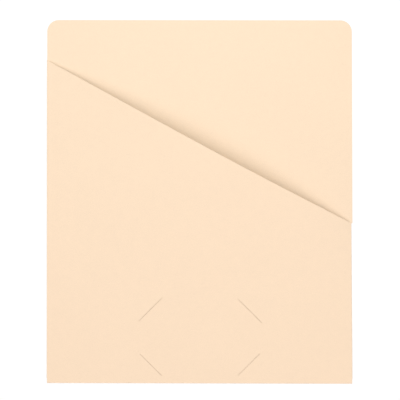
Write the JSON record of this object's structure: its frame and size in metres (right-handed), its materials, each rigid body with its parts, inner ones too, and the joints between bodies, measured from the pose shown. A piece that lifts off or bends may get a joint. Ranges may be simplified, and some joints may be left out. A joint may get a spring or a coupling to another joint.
{
  "type": "slash jacket",
  "caption": "Flat manila file jacket: a full-height back panel, a front pocket with a diagonal slash-cut mouth glued at its sides, and corner slits that hold a calling card.",
  "frame": {"origin": "centre of the outline, on the face that the jacket lies on", "axes": "+X to the right across the width, +Y from the bottom fold to the top edge, +Z out of the front panel"},
  "size_m": [0.2508, 0.2984, 0.0151],
  "materials": {
    "manila": "matt, uncoated",
    "glue": "dried film"
  },
  "bodies": {
    "back": {"back_panel": "manila", "bottom_fold": "manila", "left_fold": "manila", "right_fold": "manila"},
    "front": {"front_panel": "manila", "left_flap": "manila", "right_flap": "manila", "left_glue": "glue", "right_glue": "glue"}
  },
  "joints": [
    {"name": "mouth_open", "type": "hinge", "parent": "back", "child": "front", "pos_m": [0, -0.14866, 0.00057], "axis": [1, 0, 0], "range_deg": [0, 4], "stiffness_Nm_per_rad": 0.03, "deforming": ["left_fold", "right_fold"]}
  ]
}
